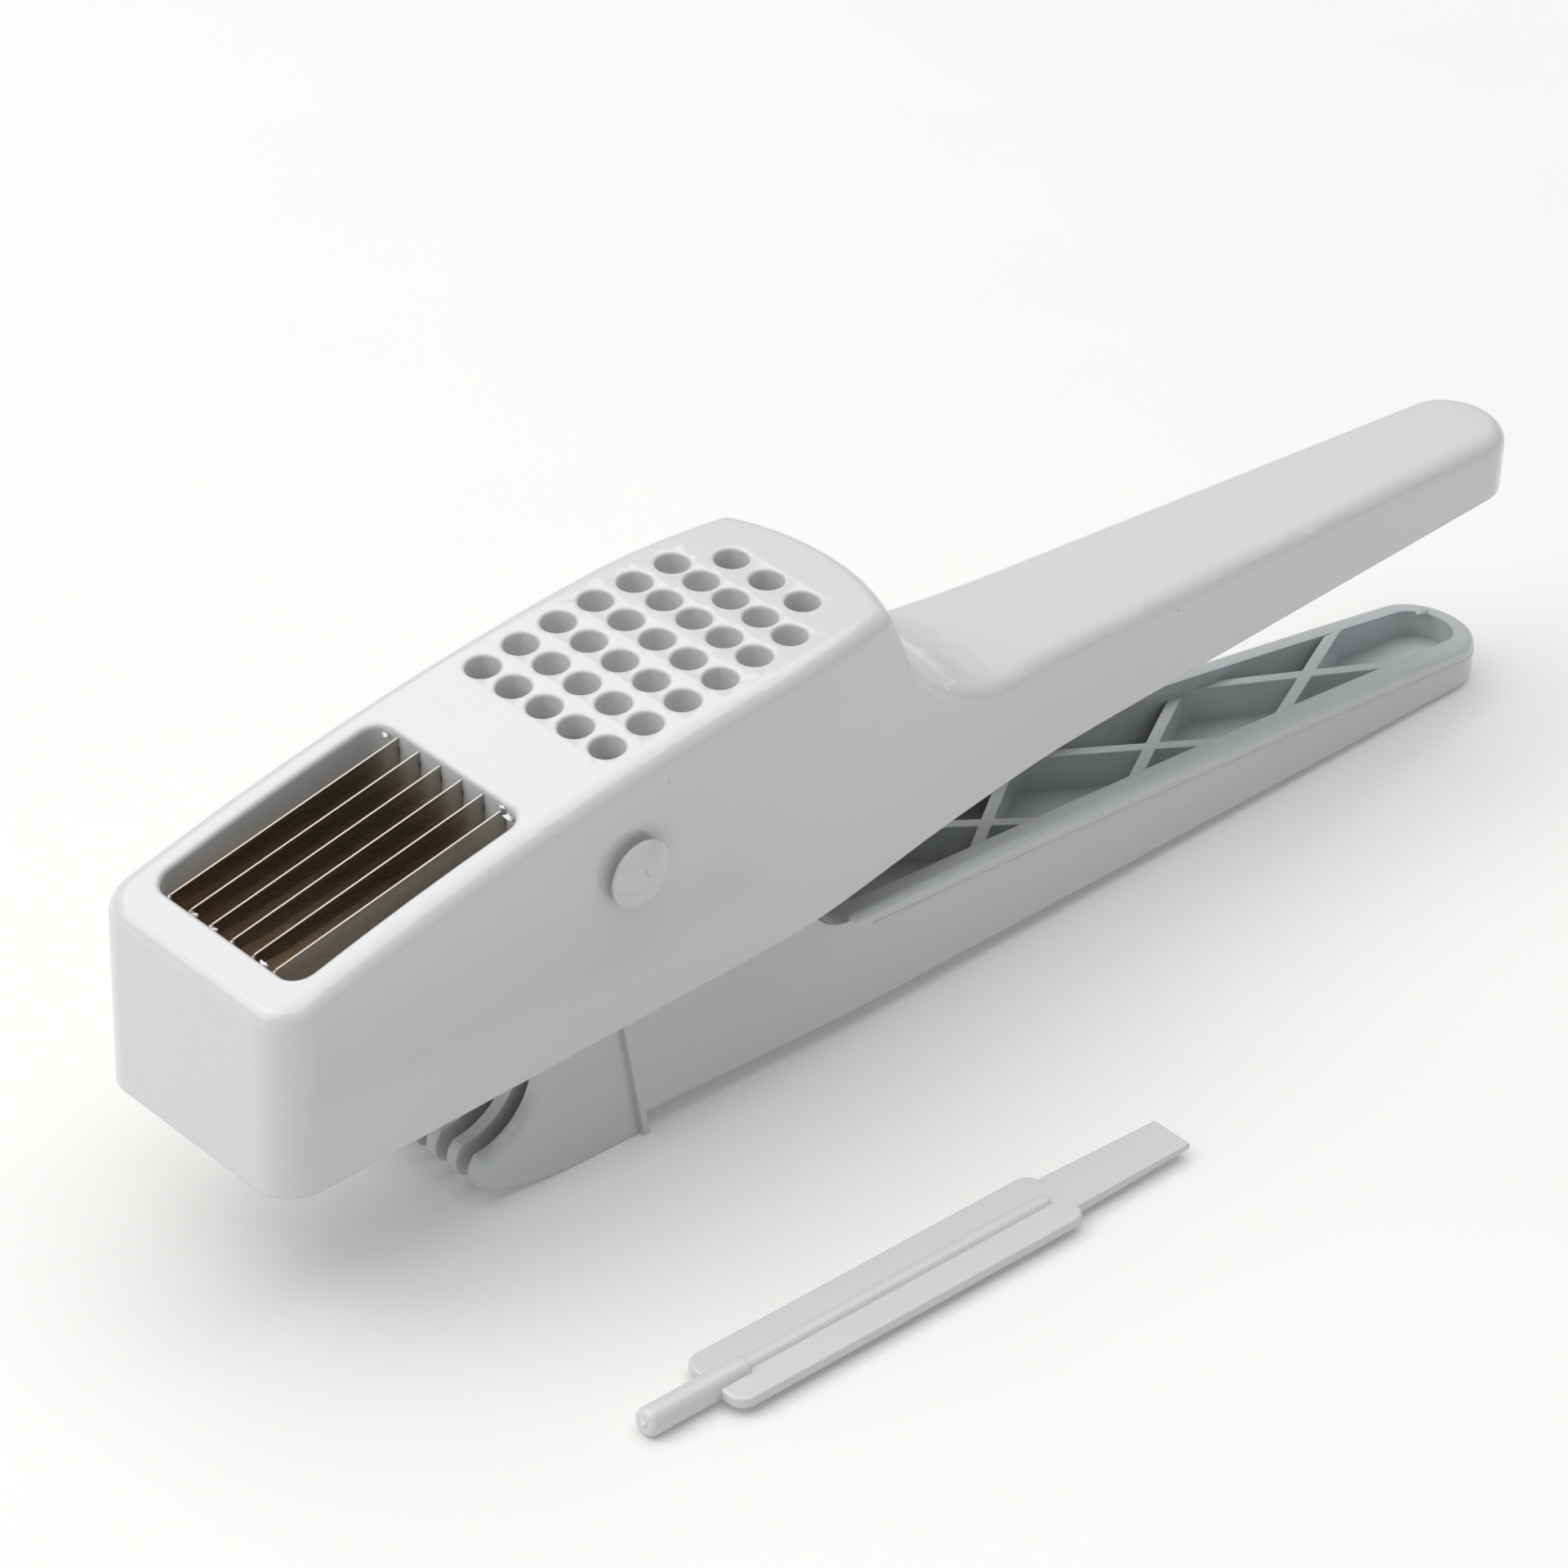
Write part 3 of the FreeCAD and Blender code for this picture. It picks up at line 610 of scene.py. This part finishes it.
class GeometryBoard:
    """A Geometry Nodes tree with named inputs, built in a few short calls."""

    def __init__(self, name: str) -> None:
        """Start a tree that takes and gives geometry.

        Args:
            name: the tree's name.
        """
        self.tree = bpy.data.node_groups.new(name, "GeometryNodeTree")
        self.tree.interface.new_socket("Geometry", in_out="INPUT", socket_type="NodeSocketGeometry")
        self.tree.interface.new_socket("Geometry", in_out="OUTPUT", socket_type="NodeSocketGeometry")
        self.outer = self.tree.nodes.new("NodeGroupInput")

    def ask(self, name: str, kind: str, value: object = None) -> None:
        """Declare a named input.

        Args:
            name: what it is called.
            kind: the end of Blender's name for its socket type.
            value: its usual value, if it has one.
        """
        socket = self.tree.interface.new_socket(name, in_out="INPUT", socket_type="NodeSocket" + kind)
        if value is not None:
            socket.default_value = value

    def add(self, kind: str, joins: dict[str | int, object], **settings: object) -> bpy.types.Node:
        """Add a node.

        Args:
            kind: Blender's name for the node type.
            joins: an output or a plain value for each input that is used.
            settings: the node's properties.

        Returns:
            The new node.
        """
        node = self.tree.nodes.new(kind)
        for key, value in settings.items():
            setattr(node, key, value)
        for socket, value in joins.items():
            if isinstance(value, bpy.types.NodeSocket):
                self.tree.links.new(value, node.inputs[socket])
            else:
                node.inputs[socket].default_value = value
        return node

    def given(self, name: str) -> bpy.types.NodeSocket:
        """Find a named input.

        Args:
            name: what it is called.

        Returns:
            The output that carries it into the tree.
        """
        return self.outer.outputs[name]

    def close(self, geometry: bpy.types.NodeSocket) -> bpy.types.NodeTree:
        """End the tree with real geometry in the asked material.

        Args:
            geometry: the tree's result so far.

        Returns:
            The finished tree.
        """
        real = self.add("GeometryNodeRealizeInstances", {"Geometry": geometry})
        dressed = self.add("GeometryNodeSetMaterial", {
            "Geometry": real.outputs[0], "Material": self.given("Finish")})
        self.add("NodeGroupOutput", {0: dressed.outputs[0]})
        return self.tree


def row_tree() -> bpy.types.NodeTree:
    """Tree that repeats the given mesh along a straight row, each copy turned and sized at random.

    Returns:
        The finished tree.
    """
    board = GeometryBoard("repeat_in_a_row")
    board.ask("Count", "Int", BLADE_COUNT)
    board.ask("Step", "Vector")
    board.ask("Turn", "Vector")
    board.ask("Size Low", "Float", 1.0)
    board.ask("Size High", "Float", 1.0)
    board.ask("Seed", "Int", 7)
    board.ask("Finish", "Material")
    points = board.add("GeometryNodeMeshLine", {"Count": board.given("Count"), "Offset": board.given("Step")})
    size = board.add("FunctionNodeRandomValue", {
        2: board.given("Size Low"), 3: board.given("Size High"), "Seed": board.given("Seed")})
    least = board.add("ShaderNodeVectorMath", {0: board.given("Turn"), "Scale": -1.0}, operation="SCALE")
    turn = board.add("FunctionNodeRandomValue", {
        0: least.outputs[0], 1: board.given("Turn"), "Seed": board.given("Seed")}, data_type="FLOAT_VECTOR")
    copies = board.add("GeometryNodeInstanceOnPoints", {
        "Points": points.outputs[0], "Instance": board.given("Geometry"),
        "Rotation": turn.outputs[0], "Scale": size.outputs[1]})
    return board.close(copies.outputs[0])


def bead_tree() -> bpy.types.NodeTree:
    """Tree that runs a round bead along the given curve.

    Returns:
        The finished tree.
    """
    board = GeometryBoard("bead_along_a_line")
    board.ask("Radius", "Float", 0.1 * MM)
    board.ask("Spacing", "Float", 2.0 * MM)
    board.ask("Finish", "Material")
    even = board.add("GeometryNodeResampleCurve", {
        "Curve": board.given("Geometry"), "Length": board.given("Spacing")}, mode="LENGTH")
    ring = board.add("GeometryNodeCurvePrimitiveCircle", {"Resolution": 8, "Radius": board.given("Radius")})
    bead = board.add("GeometryNodeCurveToMesh", {
        "Curve": even.outputs[0], "Profile Curve": ring.outputs[0], "Fill Caps": True})
    soft = board.add("GeometryNodeSetShadeSmooth", {"Geometry": bead.outputs[0]})
    return board.close(soft.outputs[0])


def grow(piece: bpy.types.Object, tree: bpy.types.NodeTree, finish: Finish,
         values: dict[str, object]) -> bpy.types.Object:
    """Run a tree on a piece and keep the result as plain mesh.

    Args:
        piece: the mesh or curve that the tree starts from.
        tree: what to run.
        finish: the finish for its Finish input.
        values: its other named inputs.

    Returns:
        The piece, as a mesh with no modifier.
    """
    wanted = {**values, "Finish": made(finish)}
    modifier = piece.modifiers.new(tree.name, "NODES")
    modifier.node_group = tree
    for item in tree.interface.items_tree:
        if item.in_out == "INPUT" and item.name in wanted:
            modifier[item.identifier] = wanted[item.name]
    return settle(piece)


def bead(name: str, route: list[Vector], radius: float, finish: Finish, spacing: float) -> bpy.types.Object:
    """Round bead along a route, by the bead tree.

    Args:
        name: the object's name.
        route: places that it passes.
        radius: half of its thickness.
        finish: what it is made of.
        spacing: distance between its rings.

    Returns:
        The new mesh object.
    """
    curve = bpy.data.curves.new(name, "CURVE")
    curve.dimensions = "3D"
    spline = curve.splines.new("POLY")
    spline.points.add(len(route) - 1)
    for point, place in zip(spline.points, route):
        point.co = (*place, 1.0)
    line = bpy.data.objects.new(name, curve)
    bpy.context.scene.collection.objects.link(line)
    return grow(line, BEAD_TREE, finish, {"Radius": radius, "Spacing": spacing})


def torn(place: Vector, seed: int) -> float:
    """How far a torn bit's skin stands in or out at a place on a unit ball.

    Args:
        place: where on the ball.
        seed: which of many torn shapes.

    Returns:
        A factor for the ball's radius there.
    """
    broad = math.sin(5.1 * place.x + seed) * math.sin(4.3 * place.y + 2.0 * seed)
    fine = math.sin(9.7 * place.z + 3.0 * seed) * math.sin(8.3 * place.x + 1.7 * seed)
    return 1.0 + 0.5 * (broad + 0.7 * fine)


def flake(name: str, size: Vector, seed: int) -> bpy.types.Object:
    """Small torn bit of moulding flash, centred on the origin.

    Args:
        name: the object's name.
        size: its half sizes.
        seed: which of many torn shapes.

    Returns:
        The new object.
    """
    bm = bmesh.new()
    bmesh.ops.create_icosphere(bm, subdivisions=2, radius=1.0)
    for vertex in bm.verts:
        vertex.co *= torn(vertex.co, seed)
        vertex.co = Vector(vertex.co[axis] * size[axis] for axis in range(3))
    for face in bm.faces:
        face.smooth = True
    mesh = bpy.data.meshes.new(name)
    bm.to_mesh(mesh)
    bm.free()
    return place_mesh(mesh, name)


ROW_TREE = row_tree()
BEAD_TREE = bead_tree()


# --------------------------------------------------------------------------------- sub-assemblies


@dataclass
class Lean:
    """How the closed tool lies: the head's own axes are leaned back on the table."""

    degrees: float = 2.9
    pivot: Vector = field(default_factory=lambda: Vector((-4.0, 0.0, 37.0)) * MM)
    pivot_x: float = 43.2
    pivot_z: float = 18.6

    def place(self, x: float, y: float, z: float) -> Vector:
        """Carry a point of the head's own drawing over to the table.

        Args:
            x: millimetres along the head.
            y: millimetres across it.
            z: millimetres up from its underside.

        Returns:
            The place in the frame, in metres.
        """
        turn = math.radians(self.degrees)
        dx = (x - self.pivot_x) * MM
        dz = (z - self.pivot_z) * MM
        across = dx * math.cos(turn) - dz * math.sin(turn)
        up = dx * math.sin(turn) + dz * math.cos(turn)
        return self.pivot + Vector((across, y * MM, up))


LEAN = Lean()


@dataclass
class Head:
    """Upper body: head with grid and slicer window, neck and handle."""

    window_front_x: float = 4.7
    window_rear_x: float = 32.5
    blade_pitch: float = 3.08
    front_lip_z: float = 21.6
    rear_lip_z: float = 27.1

    def build(self) -> None:
        """Make the moulded shell and the torn flash round its window."""
        dress_node("upper_body", "head_and_handle", HEAD_PLASTIC, Slot.HEAD, Body.HEAD)
        self.flash_row("front_flash", self.window_front_x + 0.1, self.front_lip_z, 0.30, 11)
        self.flash_row("rear_flash", self.window_rear_x - 0.15, self.rear_lip_z - 0.4, 0.34, 23)
        self.corner_burrs()

    def flash_row(self, name: str, x: float, z: float, size: float, seed: int) -> None:
        """Row of small torn bits, one where each blade enters the plastic.

        Args:
            name: the piece's name.
            x: place along the head, in millimetres.
            z: height of the lip, in millimetres.
            size: usual size of a bit, in millimetres.
            seed: which of many rows.
        """
        bit = flake(name, Vector((0.5, 0.6, 0.8)) * size * MM, seed)
        row = grow(bit, ROW_TREE, FLASH_PLASTIC, {
            "Count": BLADE_COUNT, "Step": (0.0, self.blade_pitch * MM, 0.0), "Turn": (0.7, 0.7, 1.2),
            "Size Low": 0.35, "Size High": 1.1, "Seed": seed})
        first = -(BLADE_COUNT - 1) / 2 * self.blade_pitch
        row.data.transform(Matrix.Translation(LEAN.place(x, first + 0.3, z)))
        dress(row, FLASH_PLASTIC, Slot.HEAD, Body.HEAD)

    def corner_burrs(self) -> None:
        """The larger curls of flash in the window's corners and on its front edge."""
        spots = [
            (self.window_rear_x - 0.6, -8.9, self.rear_lip_z, 0.50),
            (self.window_rear_x - 0.2, -7.6, self.rear_lip_z + 0.3, 0.34),
            (self.window_rear_x - 0.5, 9.0, self.rear_lip_z, 0.40),
            (self.window_front_x + 0.1, -5.8, self.front_lip_z, 0.46),
            (self.window_front_x + 0.1, 1.4, self.front_lip_z, 0.30),
            (self.window_front_x + 0.1, 4.3, self.front_lip_z, 0.34),
        ]
        for index, (x, y, z, size) in enumerate(spots, start=1):
            burr = flake("window_burr_%d" % index, Vector((0.7, 1.15, 0.4)) * size * MM, index)
            burr.data.transform(Matrix.Translation(LEAN.place(x, y, z)))
            dress(burr, FLASH_PLASTIC, Slot.HEAD, Body.HEAD)


@dataclass
class Blades:
    """Six flat slicer blades with a ground edge on top."""

    ground_depth: float = 0.9 * MM
    edge_share: float = 0.45
    corner_reach: float = 0.6 * MM

    def build(self) -> None:
        """Grind one packed blade's top edge, repeat it in a row, and replace the six."""
        first = weld("slicer_blade_1", "slicer_blades", 20.0)
        low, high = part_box("slicer_blade_1")
        last_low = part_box("slicer_blade_%d" % BLADE_COUNT)[0]
        pitch = (last_low.y - low.y) / (BLADE_COUNT - 1)
        self.grind(first.data, (low.y + high.y) / 2)
        row = grow(first, ROW_TREE, BLADE_STEEL, {
            "Count": BLADE_COUNT, "Step": (0.0, pitch, 0.0), "Turn": (0.0, 0.0, 0.0),
            "Size Low": 1.0, "Size High": 1.0, "Seed": 1})
        names = ["slicer_blade_%d" % (index + 1) for index in range(BLADE_COUNT)]
        dress(row, BLADE_STEEL, Slot.STEEL, Body.HEAD, *names)

    def grind(self, mesh: bpy.types.Mesh, middle: float) -> None:
        """Thin the blade towards its long top edge, below which it keeps its full thickness.

        Args:
            mesh: the blade, changed in place.
            middle: Y of its mid plane.
        """
        bm = bmesh.new()
        bm.from_mesh(mesh)
        places = [vertex.co for vertex in bm.verts]
        front = self.top_corner(places, min(place.x for place in places))
        rear = self.top_corner(places, max(place.x for place in places))
        along = (rear - front).normalized()
        up = Vector((-along.z, 0.0, along.x))
        cut = front - up * self.ground_depth
        whole = bm.verts[:] + bm.edges[:] + bm.faces[:]
        bmesh.ops.bisect_plane(bm, geom=whole, plane_co=cut, plane_no=up)
        for vertex in bm.verts:
            if (vertex.co - front).dot(up) > -0.1 * self.ground_depth:
                vertex.co.y = middle + (vertex.co.y - middle) * self.edge_share
        for face in bm.faces:
            face.smooth = False
        bm.to_mesh(mesh)
        bm.free()

    def top_corner(self, places: list[Vector], end_x: float) -> Vector:
        """Find the blade's highest corner near one of its ends.

        Args:
            places: the blade's corners.
            end_x: X of that end.

        Returns:
            The corner's place.
        """
        near = [place for place in places if abs(place.x - end_x) < self.corner_reach]
        return max(near, key=lambda place: place.z).copy()


@dataclass
class PivotPin:
    """Domed snap pin through the head's walls."""

    line_radius: float = 0.07 * MM
    line_spacing: float = 0.4 * MM
    line_points: int = 7
    line_turn_deg: float = 118.0
    line_start: float = 0.22
    line_length: float = 0.72
    dome_height: float = 2.1 * MM
    dome_radius: float = 3.45 * MM
    dome_power: float = 2.4
    line_depth: float = 0.8

    def build(self) -> None:
        """Make the pin and the fine mould line on its dome."""
        dress_node("pivot_pin", "hinge_pin", PIN_PLASTIC, Slot.PIN, Body.HEAD)
        low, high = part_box("pivot_pin")
        centre = (low + high) / 2
        turn = math.radians(self.line_turn_deg)
        route = []
        for step in range(self.line_points):
            share = self.line_start + self.line_length * step / (self.line_points - 1)
            radius = share * self.dome_radius
            drop = self.line_depth * self.dome_height * share ** self.dome_power
            x = centre.x + radius * math.cos(turn)
            z = centre.z + radius * math.sin(turn)
            route.append(Vector((x, low.y + drop, z)))
        line = bead("pin_mould_line", route, self.line_radius, PIN_PLASTIC, self.line_spacing)
        dress(line, PIN_PLASTIC, Slot.PIN, Body.HEAD)


@dataclass
class Lever:
    """Lower lever: comb, plunger, hub and the hollow handle with crossed ribs."""

    line_radius: float = 0.11 * MM
    line_spacing: float = 1.2 * MM
    line_drop: float = 1.75
    line_start: float = 3.0
    side_steps: int = 24
    end_steps: int = 16
    half_width: float = 10.8
    end_radius: float = 6.3
    taper_x: float = 77.0
    end_x: float = 184.4
    rim_start: tuple[float, float] = (77.0, -5.5)
    rim_end: tuple[float, float] = (178.1, -19.4)
    rim_bow: float = 0.35
    nick_inset: float = 3.6
    nick_y: float = 2.2
    nick_drop: float = 0.35

    def build(self) -> None:
        """Make the moulded lever, its parting line and the gate nick at its end."""
        dress_node("lower_lever", "press_lever", LEVER_PLASTIC, Slot.LEVER, Body.LEVER)
        route = self.rim_route()
        line = bead("lever_parting_line", route, self.line_radius, LEVER_PLASTIC, self.line_spacing)
        dress(line, LEVER_PLASTIC, Slot.LEVER, Body.LEVER)
        nick = flake("lever_gate_nick", Vector((0.8, 0.45, 0.3)) * MM, 5)
        place = LEAN.place(self.end_x - self.nick_inset, self.nick_y, self.rim_end[1] - self.nick_drop)
        nick.data.transform(Matrix.Translation(place))
        dress(nick, LEVER_PLASTIC, Slot.LEVER, Body.LEVER)

    def rim_route(self) -> list[Vector]:
        """Route of the parting line: along one side, round the end, and back along the other.

        Returns:
            Its places, in the frame.
        """
        start_x = self.rim_start[0] + self.line_start
        centre_x = self.end_x - self.end_radius
        near = []
        for step in range(self.side_steps + 1):
            share = step / self.side_steps
            x = start_x + share * (centre_x - start_x)
            near.append((x, -self.half_at(x), self.rim_at(x)))
        turn = []
        for step in range(1, self.end_steps):
            angle = math.pi * step / self.end_steps - math.pi / 2
            x = centre_x + self.end_radius * math.cos(angle)
            turn.append((x, self.end_radius * math.sin(angle), self.rim_at(x)))
        far = [(x, -y, z) for x, y, z in reversed(near)]
        return [LEAN.place(x, y, z - self.line_drop) for x, y, z in near + turn + far]

    def half_at(self, x: float) -> float:
        """Half of the lever's width at a station.

        Args:
            x: the station, in millimetres.

        Returns:
            The half width, in millimetres.
        """
        share = (x - self.taper_x) / (self.end_x - self.end_radius - self.taper_x)
        return self.half_width + share * (self.end_radius - self.half_width)

    def rim_at(self, x: float) -> float:
        """Height of the rim at a station, on its shallow arc.

        Args:
            x: the station, in millimetres.

        Returns:
            The height, in millimetres.
        """
        share = (x - self.rim_start[0]) / (self.rim_end[0] - self.rim_start[0])
        bow = 4.0 * self.rim_bow * share * (1.0 - share)
        return self.rim_start[1] + share * (self.rim_end[1] - self.rim_start[1]) + bow


@dataclass
class CleaningPick:
    """Loose pick that clears the grid's holes and the comb."""

    gate_size: float = 0.55 * MM
    gate_inset: float = 0.1 * MM
    gate_rise: float = 0.3 * MM

    def build(self) -> None:
        """Make the pick, and the torn gate mark on its round tip."""
        dress_node("cleaning_pick", "loose_pick", PICK_PLASTIC, Slot.PICK, Body.PICK)
        low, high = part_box("cleaning_pick")
        centre = (low + high) / 2
        tip = Vector((low.x + self.gate_inset, centre.y, centre.z + self.gate_rise))
        mark = flake("pick_gate_mark", Vector((0.5, 1.0, 1.0)) * self.gate_size, 3)
        mark.data.transform(Matrix.Translation(tip))
        dress(mark, FLASH_PLASTIC, Slot.PICK, Body.PICK)


# ------------------------------------------------------------------------------------------ stage


@dataclass(frozen=True)
class SoftBox:
    """One large soft light."""

    name: str
    place: tuple[float, float, float]
    width: float
    height: float
    power: float
    colour: Colour = (1.0, 1.0, 1.0)

    def build(self, aim: Vector) -> None:
        """Hang the light and turn it to the tool.

        Args:
            aim: the place that it faces.
        """
        light = bpy.data.lights.new(self.name, "AREA")
        light.shape = "RECTANGLE"
        light.size = self.width
        light.size_y = self.height
        light.energy = self.power
        light.color = self.colour
        lamp = bpy.data.objects.new(self.name, light)
        lamp.location = self.place
        lamp.rotation_euler = (aim - Vector(self.place)).to_track_quat("-Z", "Y").to_euler()
        bpy.context.scene.collection.objects.link(lamp)


@dataclass
class Studio:
    """Pale table, soft lights and the camera."""

    floor_half: float = 3.0
    floor_gap: float = 0.02 * MM
    sky: Colour = (0.93, 0.96, 1.0)
    sky_strength: float = 0.365
    lens: float = 130.48
    sensor: float = 36.0
    clip: tuple[float, float] = (0.01, 50.0)
    eye: Vector = field(default_factory=lambda: Vector((-317.75, -334.01, 339.46)) * MM)
    forward: Vector = field(default_factory=lambda: Vector((0.60476, 0.58032, -0.54542)))
    right: Vector = field(default_factory=lambda: Vector((0.7222, -0.6884, 0.0682)))

    def build(self) -> None:
        """Make the stage in order: table, sky, lights, camera."""
        self.table()
        self.surround()
        aim = (CAD_BOX[0] + CAD_BOX[1]) / 2
        for box in (
            SoftBox("top_box", (-0.05, 0.32, 1.6), 2.6, 2.4, 30.0, (1.0, 0.992, 0.985)),
            SoftBox("left_box", (-1.1, 0.5, 1.0), 1.4, 1.2, 8.2, (0.98, 0.99, 1.0)),
        ):
            box.build(aim)
        self.camera()

    def table(self) -> None:
        """Flat table at the tool's lowest point."""
        h = self.floor_half
        z = CAD_BOX[0].z - self.floor_gap
        mesh = bpy.data.meshes.new("table")
        mesh.from_pydata([(-h, -h, z), (h, -h, z), (h, h, z), (-h, h, z)], [], [(0, 1, 2, 3)])
        table = place_mesh(mesh, "table")
        table.data.materials.append(TableTop().material())

    def surround(self) -> None:
        """Even, dim light from all round."""
        world = bpy.data.worlds.new("surround")
        world.use_nodes = True
        sky = world.node_tree.nodes["Background"]
        sky.inputs["Color"].default_value = (*self.sky, 1.0)
        sky.inputs["Strength"].default_value = self.sky_strength
        bpy.context.scene.world = world

    def camera(self) -> None:
        """Long lens from the front left, looking down on the head."""
        lens = bpy.data.cameras.new("camera")
        lens.lens = self.lens
        lens.sensor_width = self.sensor
        lens.clip_start, lens.clip_end = self.clip
        camera = bpy.data.objects.new("camera", lens)
        forward = self.forward.normalized()
        right = (self.right - forward * self.right.dot(forward)).normalized()
        up = right.cross(forward)
        turn = Matrix((right, up, -forward)).transposed()
        camera.matrix_world = Matrix.Translation(self.eye) @ turn.to_4x4()
        bpy.context.scene.collection.objects.link(camera)
        bpy.context.scene.camera = camera
        bpy.context.scene.view_settings.view_transform = "Standard"


def main() -> None:
    """Build the stage and every sub-assembly, in order."""
    logging.basicConfig(level=logging.INFO, format="%(name)s: %(message)s")
    Studio().build()
    for part in (Head(), Blades(), PivotPin(), Lever(), CleaningPick()):
        part.build()


if __name__ == "__main__":
    main()
